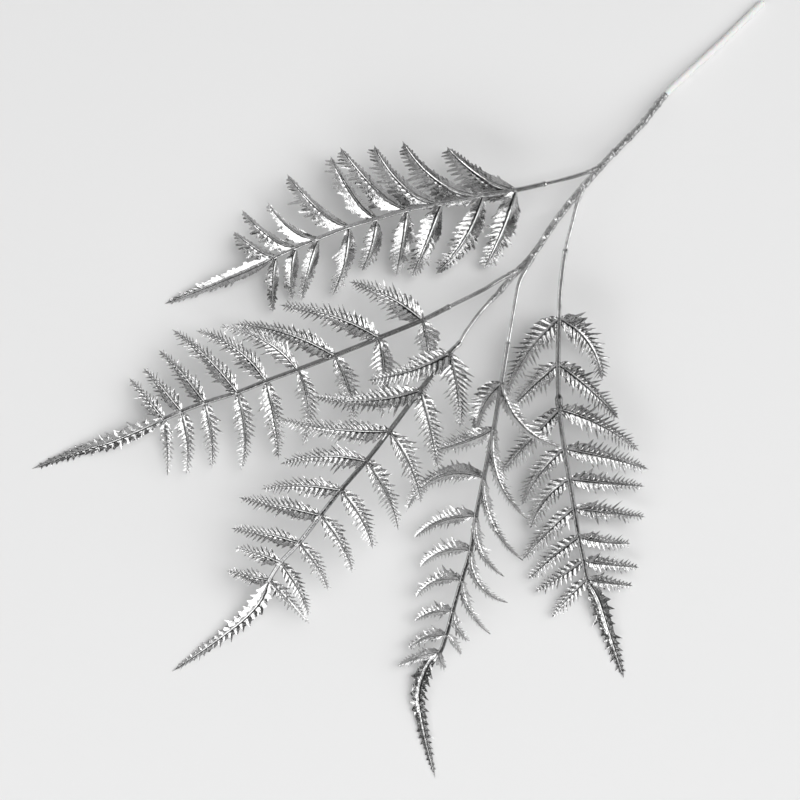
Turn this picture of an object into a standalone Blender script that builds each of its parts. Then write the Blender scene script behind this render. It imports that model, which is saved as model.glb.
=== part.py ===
# A spray of five moulded silver fern fronds, wired and taped into one stem, lying on a table.
#
# The plan places below were read off the laid-out spray in millimetres: x to the right, y up the view, and
# z above the table. placed() turns that plan by 45 degrees, so that the stem lies along +Y, and sets the
# origin under the middle of the spray.

import math

import bmesh
import bpy
import numpy as np

MM = 0.001
GAP = 0.3  # clearance between two pieces that touch on the real spray
PLAN_TURN = math.radians(45)
PLAN_MIDDLE = (43.6, 74.1)  # middle of the spray's box, in the turned plan

# The stem, from its cut end to the last branch. It lies on the table at the cut end only.
STEM = (
    (290, 318, 2.7), (253, 282, 4), (214, 246, 8), (192, 219, 11), (160, 186, 16),
    (128, 148, 20), (106, 116, 24), (92, 101, 27), (78, 85, 30),
)
TAIL_POINTS = 2  # the pale sleeve ends just past this point of STEM, and the wrapping starts
TAIL_PAST = 3
TAIL_RADIUS = 2.7
WRAP_RADII = (2.8, 2.7, 2.6, 2.5, 2.3, 2.2, 2.0)  # from the sleeve to the last branch
CORE_RADIUS = 0.9
CORE_SHOWS = 0.6  # how far the steel wire stands out of the cut end
RING_RADIUS = 0.7  # more than the wrapping's
RING_WIDTH = 3.5
RING_SPACING = 17.5
FIRST_RING = 0.6  # spacings from the wrapping's start
STUB_LENGTH = 15  # the taped root of a branch
STUB_RADIUS = 2.1
WIRE_RADIUS = 1.7

# A frond's midrib and its sleeve
SLEEVE_RADIUS = 2.1
SLEEVE_LENGTH = 9
SLEEVE_LEAD = 2  # it starts this far before the stalk's first point
RIB_RADII = (1.9, 1.5)  # at the first and the last pair
KNUCKLE_RADIUS = 3.1  # a lump in one frond's midrib
KNUCKLE_LENGTH = 8
KNUCKLE_LEAD = 5.8  # its middle lies this far before its pair

# A leaflet: a thin folded blade with saw teeth that point to its tip
BLADE = 0.7
RIB_RISE = 0.5  # the blade's own rib stands this much above it
TOOTH_PITCH = 13
FEWEST_TEETH = 4
TOOTH_LEAN = 0.9  # a tooth's tip lies this far from its own notch towards the next
NOTCH = 0.42  # width that is left between two teeth, as a share of the blade's
PAIR_WIDTHS = (13, 12, 11.5, 11, 10.5, 10, 9, 8.5, 8)  # half-width at each pair's base
TIP_TAPER = 0.8
END_WIDTH = 9  # half-width of the end leaflet
ROOT_WIDTH = 1.6
DROOP = 1.4  # a leaflet's height changes with this power of the way along it

# Each frond: branch is its wire from the stem's middle, stalk the sleeve up to the first pair, pairs where
# the nine pairs grow, and end the end leaflet. Leaflets on the right and left of the way out have their
# reach in plan, their angle to the midrib over the near and the far half, their tips' heights, how far
# the first and the last are rolled about their ribs, and by how many degrees each half falls away from
# the rib, or rises from it where that is below 0. end_fold is the same for the end leaflet. knuckle is
# the pair that the midrib has a lump before.
FRONDS = (
    dict(
        name="frond_1",
        branch=((160, 186, 16), (152, 182, 19), (134, 176, 23)),
        stalk=((114, 171, 26),),
        pairs=(
            (92, 166, 29), (66, 162, 32), (33, 155, 34), (6, 150, 34), (-18, 143, 33),
            (-40, 137, 31), (-64, 128, 27), (-82, 121, 23), (-98, 114, 19),
        ),
        end=((-120, 104, 13), (-140, 96, 8), (-160, 88, 3.5), (-188, 77, 0.35)),
        end_fold=-28,
        right=dict(
            reach=(66, 81, 74, 74, 63, 66, 52, 54, 40),
            near=(37, 35, 44, 55, 68, 56, 48, 53, 53),
            far=(45, 54, 61, 58, 71, 61, 64, 61, 55),
            tips=(24, 26, 26, 26, 24, 22, 20, 17, 14),
            roll=(22, -4),
            fold=25,
        ),
        left=dict(
            reach=(66, 73, 62, 52, 42, 56, 51, 41, 44),
            near=(63, 57, 58, 69, 64, 65, 51, 57, 59),
            far=(55, 39, 54, 64, 50, 50, 54, 68, 65),
            tips=(8, 10, 10, 10, 10, 9, 8, 8, 7),
            roll=(14, 12),
            fold=18,
        ),
    ),
    dict(
        name="frond_2",
        branch=((92, 102, 27), (79, 95, 33), (64, 86, 37)),
        stalk=((38, 73, 39),),
        pairs=(
            (18, 63, 42), (-16, 49, 45), (-51, 35, 45), (-80, 24, 43), (-105, 15, 39),
            (-128, 6, 34), (-154, -2, 27), (-173, -9, 22), (-187, -15, 18),
        ),
        end=((-210, -25, 12), (-232, -34, 7), (-260, -42, 3), (-294, -55, 0.35)),
        end_fold=8,
        right=dict(
            reach=(66, 84, 85, 73, 71, 73, 56, 46, 43),
            near=(57, 47, 46, 61, 67, 68, 70, 72, 73),
            far=(42, 33, 31, 36, 44, 57, 63, 67, 71),
            tips=(40, 36, 32, 30, 26, 22, 19, 16, 13),
            roll=(-15, -10),
            fold=-16,
        ),
        left=dict(
            reach=(59, 61, 58, 62, 63, 63, 53, 51, 45),
            near=(77, 75, 91, 85, 81, 81, 82, 79, 72),
            far=(59, 60, 75, 59, 73, 63, 70, 63, 66),
            tips=(18, 17, 17, 17, 15, 12, 11, 9, 8),
            roll=(25, 15),
            fold=10,
        ),
    ),
    dict(
        name="frond_3",
        branch=((78, 85, 30), (64, 70, 40), (52, 54, 50)),
        stalk=((46, 44, 55),),
        pairs=(
            (39, 37, 58), (16, 8, 62), (-8, -24, 63), (-26, -47, 61), (-46, -70, 57),
            (-62, -90, 51), (-79, -112, 42), (-94, -128, 34), (-103, -142, 27),
        ),
        end=((-110, -158, 19), (-124, -174, 12), (-148, -193, 5), (-182, -217, 0.35)),
        end_fold=8,
        right=dict(
            reach=(68, 85, 87, 69, 63, 66, 55, 38, 35),
            near=(28, 42, 55, 56, 56, 65, 65, 73, 68),
            far=(38, 56, 62, 39, 44, 62, 57, 63, 68),
            tips=(60, 58, 56, 52, 48, 42, 34, 28, 22),
            roll=(-10, -10),
            fold=-16,
        ),
        left=dict(
            reach=(59, 65, 63, 61, 54, 53, 45, 49, 47),
            near=(51, 53, 69, 71, 76, 74, 77, 72, 75),
            far=(41, 47, 52, 56, 58, 57, 62, 57, 72),
            tips=(50, 47, 43, 40, 36, 30, 24, 19, 15),
            roll=(20, 15),
            fold=10,
        ),
    ),
    dict(
        name="frond_4",
        branch=((106, 115, 24), (100, 104, 28), (94, 92, 31), (90, 72, 34)),
        stalk=((85, 44, 37),),
        pairs=(
            (80, 14, 39), (74, -22, 39), (66, -61, 37), (60, -91, 34), (56, -118, 30),
            (49, -142, 26), (42, -167, 21), (37, -186, 17), (32, -200, 14),
        ),
        end=((22, -211, 11), (15, -232, 7), (17, -256, 3), (28, -302, 0.35)),
        end_fold=8,
        right=dict(
            reach=(50, 57, 76, 54, 45, 43, 33, 34, 36),
            near=(29, 55, 78, 71, 73, 70, 69, 64, 55),
            far=(0, 65, 29, 47, 41, 31, 46, 37, 47),
            tips=(22, 18, 16, 15, 14, 13, 11, 10, 9),
            roll=(-20, -15),
            fold=8,
        ),
        left=dict(
            reach=(75, 80, 75, 56, 56, 50, 28, 19, 14),
            near=(35, 15, 22, 17, 25, 30, 28, 57, 17),
            far=(71, 47, 52, 53, 70, 58, 62, 52, 67),
            tips=(44, 46, 44, 42, 38, 34, 30, 26, 22),
            roll=(40, 40),
            fold=10,
        ),
    ),
    dict(
        name="frond_5",
        knuckle=3,
        branch=((146, 170, 18), (141, 157, 20), (136, 138, 21)),
        stalk=((131, 118, 22), (127, 88, 24)),
        pairs=(
            (126, 65, 26), (125, 29, 27), (126, -7, 27), (130, -38, 25), (134, -62, 23),
            (138, -85, 20), (142, -108, 16), (146, -127, 13), (149, -142, 11),
        ),
        end=((158, -160, 8), (166, -184, 4), (179, -222, 0.35)),
        end_fold=8,
        right=dict(
            reach=(77, 49, 71, 57, 52, 58, 53, 46, 42),
            near=(41, 49, 48, 52, 58, 57, 62, 66, 56),
            far=(23, 43, 44, 36, 35, 50, 57, 69, 50),
            tips=(14, 13, 12, 11, 10, 9, 8, 7, 6),
            roll=(-15, -10),
            fold=8,
        ),
        left=dict(
            reach=(63, 66, 73, 70, 61, 58, 42, 45, 37),
            near=(52, 52, 65, 70, 74, 72, 67, 69, 68),
            far=(21, 44, 51, 65, 74, 72, 74, 71, 70),
            tips=(16, 15, 14, 13, 11, 9, 8, 7, 6),
            roll=(15, 10),
            fold=10,
        ),
    ),
)


def clear_scene():
    for old in list(bpy.data.objects):
        bpy.data.objects.remove(old, do_unlink=True)


def new_collection(name):
    made = bpy.data.collections.new(name)
    bpy.context.scene.collection.children.link(made)
    return made


def finish(name, colour, roughness, metallic):
    """A Principled material."""
    made = bpy.data.materials.new(name)
    made.use_nodes = True
    shader = made.node_tree.nodes["Principled BSDF"]
    shader.inputs["Base Color"].default_value = (*colour, 1)
    shader.inputs["Roughness"].default_value = roughness
    shader.inputs["Metallic"].default_value = metallic
    return made


def placed(points):
    """Plan points in mm as world points in metres: turned by 45 degrees and set round the origin."""
    points = np.asarray(points, float)
    cos, sin = math.cos(PLAN_TURN), math.sin(PLAN_TURN)
    x = points[:, 0] * cos - points[:, 1] * sin - PLAN_MIDDLE[0]
    y = points[:, 0] * sin + points[:, 1] * cos - PLAN_MIDDLE[1]
    return np.column_stack((x, y, points[:, 2])) * MM


def smooth(route, steps):
    """The route's points with steps - 1 more in each span, on a Catmull-Rom curve through them all."""
    p = np.asarray(route, float)
    p = np.vstack((2 * p[0] - p[1], p, 2 * p[-1] - p[-2]))
    t = (np.arange(steps) / steps)[None, :, None]
    a, b, c, d = (p[i : len(p) - 3 + i, None, :] for i in range(4))
    curve = 0.5 * (2 * b + (c - a) * t + (2 * a - 5 * b + 4 * c - d) * t**2 + (3 * b - a - 3 * c + d) * t**3)
    return np.vstack((curve.reshape(-1, 3), p[-2]))


def lengths_along(points):
    return np.concatenate(([0], np.cumsum(np.linalg.norm(np.diff(points, axis=0), axis=1))))


def stretch(points, start, end):
    """The part of a polyline between two distances along it, with its own points kept between them."""
    along = lengths_along(points)
    inner = along[(along > start + 0.5) & (along < end - 0.5)]
    at = np.concatenate(([start], inner, [end]))
    return np.column_stack([np.interp(at, along, points[:, k]) for k in range(3)])


def add_mesh(name, points, faces, collection, material):
    mesh = bpy.data.meshes.new(name)
    mesh.from_pydata(placed(points).tolist(), [], faces)
    mesh.materials.append(material)
    made = bpy.data.objects.new(name, mesh)
    collection.objects.link(made)
    return made


def tube(name, points, radii, sides, collection, material):
    """A round bar along plan points in mm, as a curve made into a closed mesh."""
    curve = bpy.data.curves.new(name, "CURVE")
    curve.dimensions = "3D"
    curve.bevel_depth = MM
    curve.bevel_resolution = sides // 2 - 2
    curve.use_fill_caps = True
    spline = curve.splines.new("POLY")
    spline.points.add(len(points) - 1)
    for point, place, radius in zip(spline.points, placed(points), np.broadcast_to(radii, len(points))):
        point.co = (*place, 1)
        point.radius = radius
    holder = bpy.data.objects.new(name + "_curve", curve)
    collection.objects.link(holder)
    bpy.context.view_layer.update()
    mesh = bpy.data.meshes.new_from_object(holder.evaluated_get(bpy.context.evaluated_depsgraph_get()))
    bpy.data.objects.remove(holder, do_unlink=True)
    welded = bmesh.new()
    welded.from_mesh(mesh)
    bmesh.ops.remove_doubles(welded, verts=welded.verts, dist=0.01 * MM)
    bmesh.ops.recalc_face_normals(welded, faces=welded.faces)
    welded.to_mesh(mesh)
    welded.free()
    mesh.materials.clear()
    mesh.materials.append(material)
    made = bpy.data.objects.new(name, mesh)
    collection.objects.link(made)
    return made


def combine(target, helpers, operation, solver="EXACT"):
    """Joins a collection to an object, or cuts it out, for good, and removes the collection's objects."""
    change = target.modifiers.new(operation.lower(), "BOOLEAN")
    change.operation = operation
    change.operand_type = "COLLECTION"
    change.collection = helpers
    change.solver = solver
    bpy.context.view_layer.update()
    result = bpy.data.meshes.new_from_object(target.evaluated_get(bpy.context.evaluated_depsgraph_get()))
    target.modifiers.clear()
    target.data = result
    for used in list(helpers.objects):
        bpy.data.objects.remove(used, do_unlink=True)


def blade_frames(middle, roll):
    """Unit vectors at each point of a blade's rib: to its left and up out of its face, rolled about the rib."""
    along = np.gradient(middle, axis=0)
    along /= np.linalg.norm(along, axis=1, keepdims=True)
    left = np.column_stack((-along[:, 1], along[:, 0], np.zeros(len(along))))
    left /= np.linalg.norm(left, axis=1, keepdims=True)
    up = np.cross(along, left)
    cos, sin = math.cos(roll), math.sin(roll)
    return left * cos + up * sin, up * cos - left * sin


def blade(name, middle, half_width, roll, fold, collection, material):
    """A closed folded blade along a rib, with a saw tooth on each side between each two points of it.

    middle holds one point for each notch. The notch has NOTCH of the half-width there, the tooth's tip has
    all of it and lies beside the next point, and the blade flattens out and ends in a point.
    """
    teeth = len(middle) - 1
    left, up = blade_frames(middle, roll)
    fall = math.radians(fold) * np.linspace(1, 0, teeth + 1)[:, None]
    out = {side: side * left * np.cos(fall) - up * np.sin(fall) for side in (1, -1)}
    notch = np.maximum(half_width * NOTCH, ROOT_WIDTH)
    notch[0] = ROOT_WIDTH
    tip_width = (half_width[:-1] + half_width[1:]) / 2
    beside = middle[:-1] + TOOTH_LEAN * (middle[1:] - middle[:-1])
    face = [middle + up * RIB_RISE]
    for side in (1, -1):
        face.append((middle + out[side] * notch[:, None])[:-1])
        face.append(beside + out[side][:-1] * tip_width[:, None])
    top = np.vstack(face) + np.vstack((up, up[:-1], up[:-1], up[:-1], up[:-1])) * BLADE / 2
    bottom = np.vstack([middle] + face[1:]) - np.vstack((up, up[:-1], up[:-1], up[:-1], up[:-1])) * BLADE / 2
    count = len(top)
    faces = []
    for start in (teeth + 1, 3 * teeth + 1):
        for i in range(teeth):
            notch_here = start + i
            notch_next = start + i + 1 if i < teeth - 1 else teeth
            tip = start + teeth + i
            flat = [(i, tip, notch_here), (i, i + 1, tip)]
            if i < teeth - 1:
                flat.append((i + 1, notch_next, tip))
            faces += flat
            faces += [(a + count, b + count, c + count) for a, b, c in flat]
            for a, b in ((notch_here, tip), (tip, notch_next)):
                faces += [(a, a + count, b), (b, a + count, b + count)]
    for a, b in ((0, teeth + 1), (3 * teeth + 1, 0)):
        faces += [(a, b, a + count), (b, b + count, a + count)]
    made = add_mesh(name, np.vstack((top, bottom)), faces, collection, material)
    shell = bmesh.new()
    shell.from_mesh(made.data)
    bmesh.ops.recalc_face_normals(shell, faces=shell.faces)
    shell.to_mesh(made.data)
    shell.free()
    return made


def leaflet_rib(base, heading, side, reach, near, far, tip_height, teeth):
    """Points of a leaflet's rib, one for each notch: its heading turns evenly from near to far."""
    finer = 8
    fine = np.linspace(0, 1, finer * teeth + 1)
    turn = heading + side * np.radians(near + (far - near) * (2 * fine - 0.5))
    step = reach / (finer * teeth)
    x = base[0] + step * np.concatenate(([0], np.cumsum(np.cos(turn[:-1]))))
    y = base[1] + step * np.concatenate(([0], np.cumsum(np.sin(turn[:-1]))))
    z = base[2] + (tip_height - base[2]) * fine**DROOP
    return np.column_stack((x, y, z))[::finer]


def build_frond(plan, parts, helpers, material):
    """The sleeve and midrib, with every leaflet joined to it. It returns the way from stem to sleeve."""
    name = plan["name"]
    steps = 4
    route = plan["branch"] + plan["stalk"] + plan["pairs"] + plan["end"]
    way = smooth(route, steps)
    joint = steps * len(plan["branch"])
    last = steps * (len(route) - len(plan["end"]) - 1)
    branch = stretch(way, 0, lengths_along(way)[joint] - SLEEVE_LEAD)
    midrib = np.vstack((branch[-1], way[joint : last + 1 : 2]))
    along = lengths_along(midrib)
    to_pairs = SLEEVE_LEAD + lengths_along(way[joint : joint + steps * len(plan["stalk"]) + 1])[-1]
    radii = np.interp(along, (0, SLEEVE_LENGTH, to_pairs, along[-1]),
                      (SLEEVE_RADIUS, SLEEVE_RADIUS, *RIB_RADII))
    frond = tube(name, midrib, radii, 6, parts, material)
    pairs = np.asarray(plan["pairs"], float)
    ahead = np.gradient(pairs, axis=0)
    for side, which in ((-1, "right"), (1, "left")):
        row = plan[which]
        rolls = np.radians(np.linspace(*row["roll"], len(pairs)))
        for i, base in enumerate(pairs):
            teeth = max(FEWEST_TEETH, round(row["reach"][i] / TOOTH_PITCH))
            rib = leaflet_rib(base, math.atan2(ahead[i, 1], ahead[i, 0]), side, row["reach"][i],
                              row["near"][i], row["far"][i], row["tips"][i], teeth)
            width = PAIR_WIDTHS[i] * (1 - TIP_TAPER * np.linspace(0, 1, teeth + 1))
            blade(f"{name}_{which}_{i}", rib, width, rolls[i], row["fold"], helpers, material)
    end = way[last:]
    teeth = round(lengths_along(end)[-1] / TOOTH_PITCH)
    along = lengths_along(end)
    stops = np.linspace(0, along[-1], teeth + 1)
    rib = np.column_stack([np.interp(stops, along, end[:, k]) for k in range(3)])
    width = END_WIDTH * (1 - TIP_TAPER * np.linspace(0, 1, teeth + 1))
    blade(name + "_end", rib, width, 0, plan["end_fold"], helpers, material)
    if "knuckle" in plan:
        pair = steps * (len(plan["branch"] + plan["stalk"]) + plan["knuckle"] - 1)
        start = lengths_along(way)[pair] - KNUCKLE_LEAD - KNUCKLE_LENGTH / 2
        lump = stretch(way, start, start + KNUCKLE_LENGTH)[[0, -1]]
        tube(name + "_knuckle", lump, KNUCKLE_RADIUS, 8, helpers, material)
    combine(frond, helpers, "UNION", "MANIFOLD")
    return branch


def build_stem(ways, parts, helpers, cutters, sleeve, tape, steel):
    """The pale tail, the wrapping with its rings and the branches' taped roots, and the wire inside both."""
    steps = 3
    line = smooth(STEM, steps)
    along = lengths_along(line)
    tail_end = along[steps * TAIL_POINTS] + TAIL_PAST
    tail = tube("stem_tail", stretch(line, 0, tail_end - GAP), TAIL_RADIUS, 10, parts, sleeve)
    wrapped = stretch(line, tail_end, along[-1])
    wrap_along = lengths_along(wrapped)
    radii = np.interp(wrap_along, np.linspace(0, wrap_along[-1], len(WRAP_RADII)), WRAP_RADII)
    wrap = tube("stem_wrap", wrapped, radii, 8, parts, tape)
    for i, way in enumerate(ways):
        tube(f"root_{i}", stretch(way, 0, STUB_LENGTH), STUB_RADIUS, 6, helpers, tape)
    for i in range(int(wrap_along[-1] / RING_SPACING)):
        middle = RING_SPACING * (i + FIRST_RING)
        ends = stretch(wrapped, middle - RING_WIDTH / 2, middle + RING_WIDTH / 2)[[0, -1]]
        radius = np.interp(middle, wrap_along, radii) + RING_RADIUS
        tube(f"ring_{i}", ends, radius, 8, helpers, tape)
    combine(wrap, helpers, "UNION", "MANIFOLD")
    outwards = (line[0] - line[1]) / np.linalg.norm(line[0] - line[1])
    core_end = along[-1] - 2 * STUB_LENGTH
    for cut in (tail, wrap):
        bored = np.vstack((line[0] + outwards, stretch(line, 0, core_end + GAP)[1:]))
        tube("bore", bored, CORE_RADIUS + GAP, 8, cutters, steel)
        combine(cut, cutters, "DIFFERENCE")
    core = np.vstack((line[0] + outwards * CORE_SHOWS, stretch(line, 0, core_end)[1:]))
    tube("stem_core", core, CORE_RADIUS, 8, parts, steel)


def main():
    clear_scene()
    parts = new_collection("silver_fern_spray")
    helpers = new_collection("joined_repeats")
    cutters = new_collection("cutters")
    cutters.hide_render = True
    silver = finish("silver_moulding", (0.72, 0.73, 0.74), 0.28, 1.0)
    coated = finish("silver_coated_wire", (0.66, 0.67, 0.68), 0.35, 1.0)
    tape = finish("silver_tape", (0.68, 0.69, 0.70), 0.42, 1.0)
    sleeve = finish("pale_plastic", (0.86, 0.86, 0.85), 0.45, 0.0)
    steel = finish("steel_wire", (0.35, 0.35, 0.35), 0.4, 1.0)
    ways = []
    for number, plan in enumerate(FRONDS, 1):
        way = build_frond(plan, parts, helpers, silver)
        length = lengths_along(way)[-1]
        wire = stretch(way, STUB_LENGTH + GAP, length - GAP)
        tube(f"branch_wire_{number}", wire, WIRE_RADIUS, 8, parts, coated)
        ways.append(way)
    build_stem(ways, parts, helpers, cutters, sleeve, tape, steel)


main()
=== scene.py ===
# %% [markdown]
# # A silver fern spray
#
# The real thing is a florist's spray: five alike moulded fern fronds with a bright metallic coating, wired
# and taped into one stem. It lies on a pale table and is seen from straight above. Almost all of it is
# thin toothed leaf, so most of this lesson is about one surface, a leaflet's, and how it is worked out
# from a rib and a width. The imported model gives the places, and every fine piece here keeps to them.

# %% Tools and the fixed model
import math

import bpy
import numpy as np
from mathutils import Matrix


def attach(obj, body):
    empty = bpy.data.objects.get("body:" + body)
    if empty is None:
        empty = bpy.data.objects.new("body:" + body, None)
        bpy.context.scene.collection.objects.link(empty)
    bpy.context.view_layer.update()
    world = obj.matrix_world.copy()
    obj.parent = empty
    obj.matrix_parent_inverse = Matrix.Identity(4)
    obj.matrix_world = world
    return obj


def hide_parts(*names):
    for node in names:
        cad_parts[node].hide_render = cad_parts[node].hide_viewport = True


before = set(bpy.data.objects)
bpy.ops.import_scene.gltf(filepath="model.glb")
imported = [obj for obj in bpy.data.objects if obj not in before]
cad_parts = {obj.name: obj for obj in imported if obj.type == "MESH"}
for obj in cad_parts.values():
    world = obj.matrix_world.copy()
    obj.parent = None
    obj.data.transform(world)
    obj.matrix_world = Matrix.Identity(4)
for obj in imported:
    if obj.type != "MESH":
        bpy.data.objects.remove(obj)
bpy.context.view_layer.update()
MM = 0.001
print("nodes:", ", ".join(sorted(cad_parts)))

# %% [markdown]
# ## From a plan to the model's space
#
# The spray was measured lying down, as a plan in millimetres: x to the right of the view, y up it, and z
# above the table. The model turns that plan by 45 degrees, so that the stem lies along Y, and its origin
# is under the middle of the box. One function does both, so that every route below stays in plain numbers
# that can be checked with a ruler on the picture.

# %% Plan to model
PLAN_TURN = math.radians(45)
PLAN_MIDDLE = (43.6, 74.1)


def placed(points):
    """Plan points in mm as model points in metres: turned by 45 degrees about z, then shifted."""
    points = np.asarray(points, float)
    cos, sin = math.cos(PLAN_TURN), math.sin(PLAN_TURN)
    x = points[..., 0] * cos - points[..., 1] * sin - PLAN_MIDDLE[0]
    y = points[..., 0] * sin + points[..., 1] * cos - PLAN_MIDDLE[1]
    return np.stack((x, y, points[..., 2]), axis=-1) * MM


print("the stem's cut end is at", np.round(placed((290, 318, 2.7)), 3), "m")

# %% [markdown]
# ## Routes
#
# A stem, a wire and a midrib all follow a route. A few measured points are joined by a Catmull-Rom curve,
# which goes through each of them and has no corners. Distances along it are summed, so that a piece can
# start and end at a length in millimetres, and the frames that turn with it are worked out for the whole
# route at once.

# %% Curves through measured points
def smooth(route, steps):
    """The route's points with steps - 1 more in each span, on a Catmull-Rom curve through them all."""
    p = np.asarray(route, float)
    p = np.vstack((2 * p[0] - p[1], p, 2 * p[-1] - p[-2]))
    t = (np.arange(steps) / steps)[None, :, None]
    a, b, c, d = (p[i : len(p) - 3 + i, None, :] for i in range(4))
    curve = 0.5 * (2 * b + (c - a) * t + (2 * a - 5 * b + 4 * c - d) * t**2 + (3 * b - a - 3 * c + d) * t**3)
    return np.vstack((curve.reshape(-1, 3), p[-2]))


def lengths_along(points):
    """Distance along a polyline to each of its points."""
    return np.concatenate(([0], np.cumsum(np.linalg.norm(np.diff(points, axis=0), axis=1))))


def at_lengths(points, lengths):
    """The places on a polyline at the given distances along it."""
    along = lengths_along(points)
    return np.stack([np.interp(lengths, along, points[:, k]) for k in range(3)], axis=-1)


def frames_along(points, roll=0.0):
    """Unit vectors along, to the left and up at each point.

    Left is level until roll turns it about the route. A roll above 0 raises it.
    """
    along = np.gradient(points, axis=0)
    along /= np.linalg.norm(along, axis=1, keepdims=True)
    left = np.stack((-along[:, 1], along[:, 0], np.zeros(len(along))), axis=-1)
    left /= np.linalg.norm(left, axis=1, keepdims=True)
    up = np.cross(along, left)
    cos, sin = (np.broadcast_to(v, len(along))[:, None] for v in (np.cos(roll), np.sin(roll)))
    return along, left * cos + up * sin, up * cos - left * sin


# %% [markdown]
# ## Rings into a closed skin
#
# Everything long here is a stack of rings with the same number of points round each, joined to the next
# one. The faces are worked out as one array. The two end rings are closed by one flat face each, or joined
# in a loop, so each stack is a closed skin with its faces pointing outwards. A shell gathers the stacks of
# one piece, with a texture coordinate for each point, and makes one mesh of them at the end.

# %% A shell that gathers stacks of rings
class Shell:
    """Gathers stacks of rings as arrays, then makes one object of them."""

    def __init__(self, name):
        self.name = name
        self.points, self.uv, self.quads, self.caps = [], [], [], []
        self.count = 0

    def add(self, rings, uv, loop=False):
        """rings has the shape (stations, round, 3), in plan mm, and uv (stations, round, 2).

        The two ends are closed by a flat face each, but a loop's last ring is joined to its first.
        """
        stations, around = rings.shape[:2]
        index = self.count + np.arange(stations * around).reshape(stations, around)
        here, there = (index, np.roll(index, -1, 0)) if loop else (index[:-1], index[1:])
        quads = np.stack((here, np.roll(here, -1, 1), np.roll(there, -1, 1), there), axis=-1)
        self.points.append(rings.reshape(-1, 3))
        self.uv.append(uv.reshape(-1, 2))
        self.quads.append(quads.reshape(-1, 4))
        if not loop:
            self.caps += [index[0, ::-1].tolist(), index[-1].tolist()]
        self.count += stations * around

    def finish(self, material, sharp_degrees, replaced):
        """Makes the object at the origin, smooth but for its sharp edges. It rides on the one body."""
        mesh = bpy.data.meshes.new(self.name)
        faces = np.vstack(self.quads).tolist() + self.caps
        mesh.from_pydata(placed(np.vstack(self.points)).tolist(), [], faces)
        corners = np.zeros(len(mesh.loops), np.int32)
        mesh.loops.foreach_get("vertex_index", corners)
        layer = mesh.uv_layers.new(name="surface")
        layer.data.foreach_set("uv", np.vstack(self.uv)[corners].astype(np.float32).ravel())
        mesh.shade_smooth()
        mesh.set_sharp_from_angle(angle=math.radians(sharp_degrees))
        mesh.materials.append(material)
        piece = bpy.data.objects.new(self.name, mesh)
        bpy.context.scene.collection.objects.link(piece)
        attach(piece, "root")
        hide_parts(replaced)
        print(f"{self.name}: {sum(len(f) - 2 for f in faces):,} triangles")


def tube_rings(path, radius, sides):
    """Rings round a path, with the texture in mm along it and once round.

    A ring's point at angle t is path + radius * (left * cos t + up * sin t). radius is one number, or an
    array of the shape (points,) or (points, sides).
    """
    _, left, up = frames_along(path)
    turn = np.linspace(0, 2 * np.pi, sides, endpoint=False)
    radius = np.asarray(radius, float)
    radius = np.broadcast_to(radius[:, None] if radius.ndim == 1 else radius, (len(path), sides))
    swing = left[:, None] * np.cos(turn)[None, :, None] + up[:, None] * np.sin(turn)[None, :, None]
    rings = path[:, None] + radius[..., None] * swing
    along, around = np.meshgrid(lengths_along(path), turn / (2 * np.pi), indexing="ij")
    return rings, np.stack((along, around), axis=-1)


# %% [markdown]
# ## Effects that several finishes share
#
# All the silver on the spray is a thin metal coating over something softer, so its finishes share their
# effects, each a node group with named sockets: fine creases that tilt the surface, and a dulling that
# darkens it in patches and makes it rougher there. The groups give out only values, colours and normals.
# The shader stays in each material, where its metallic and roughness are easy to find.

# %% Node groups
def new_group(name, inputs, outputs):
    """An empty node group with named sockets. inputs are (name, kind, value), and outputs (name, kind)."""
    made = bpy.data.node_groups.new(name, "ShaderNodeTree")
    for label, kind, value in inputs:
        socket = made.interface.new_socket(label, in_out="INPUT", socket_type="NodeSocket" + kind)
        if value is not None:
            socket.default_value = value
    for label, kind in outputs:
        made.interface.new_socket(label, in_out="OUTPUT", socket_type="NodeSocket" + kind)
    return made


def node(tree, kind, links=(), values=(), **settings):
    """A new node. links and values are (input, source) and (input, value), by the input's name or number."""
    made = tree.nodes.new(kind)
    for key, value in settings.items():
        setattr(made, key, value)
    for label, value in values:
        made.inputs[label].default_value = value
    for label, source in links:
        tree.links.new(source, made.inputs[label])
    return made


def creases_group():
    """The normal that two sizes of noise tilt. The small one stands for grain."""
    made = new_group(
        "Creases",
        (("Coordinate", "Vector", None), ("Scale", "Float", 200.0), ("Grain", "Float", 0.3),
         ("Depth", "Float", 0.0002)),
        (("Normal", "Vector"),),
    )
    given = node(made, "NodeGroupInput")
    wide = node(made, "ShaderNodeTexNoise",
                (("Vector", given.outputs["Coordinate"]), ("Scale", given.outputs["Scale"])),
                (("Detail", 3.0), ("Roughness", 0.6), ("Distortion", 0.6)))
    finer = node(made, "ShaderNodeMath", ((0, given.outputs["Scale"]),), ((1, 6.0),), operation="MULTIPLY")
    grain = node(made, "ShaderNodeTexNoise",
                 (("Vector", given.outputs["Coordinate"]), ("Scale", finer.outputs[0])),
                 (("Detail", 2.0), ("Roughness", 0.5)))
    height = node(made, "ShaderNodeMath",
                  ((0, grain.outputs[0]), (1, given.outputs["Grain"]), (2, wide.outputs[0])),
                  operation="MULTIPLY_ADD")
    bump = node(made, "ShaderNodeBump",
                (("Height", height.outputs[0]), ("Distance", given.outputs["Depth"])), (("Strength", 1.0),))
    node(made, "NodeGroupOutput", (("Normal", bump.outputs[0]),))
    return made


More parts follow.
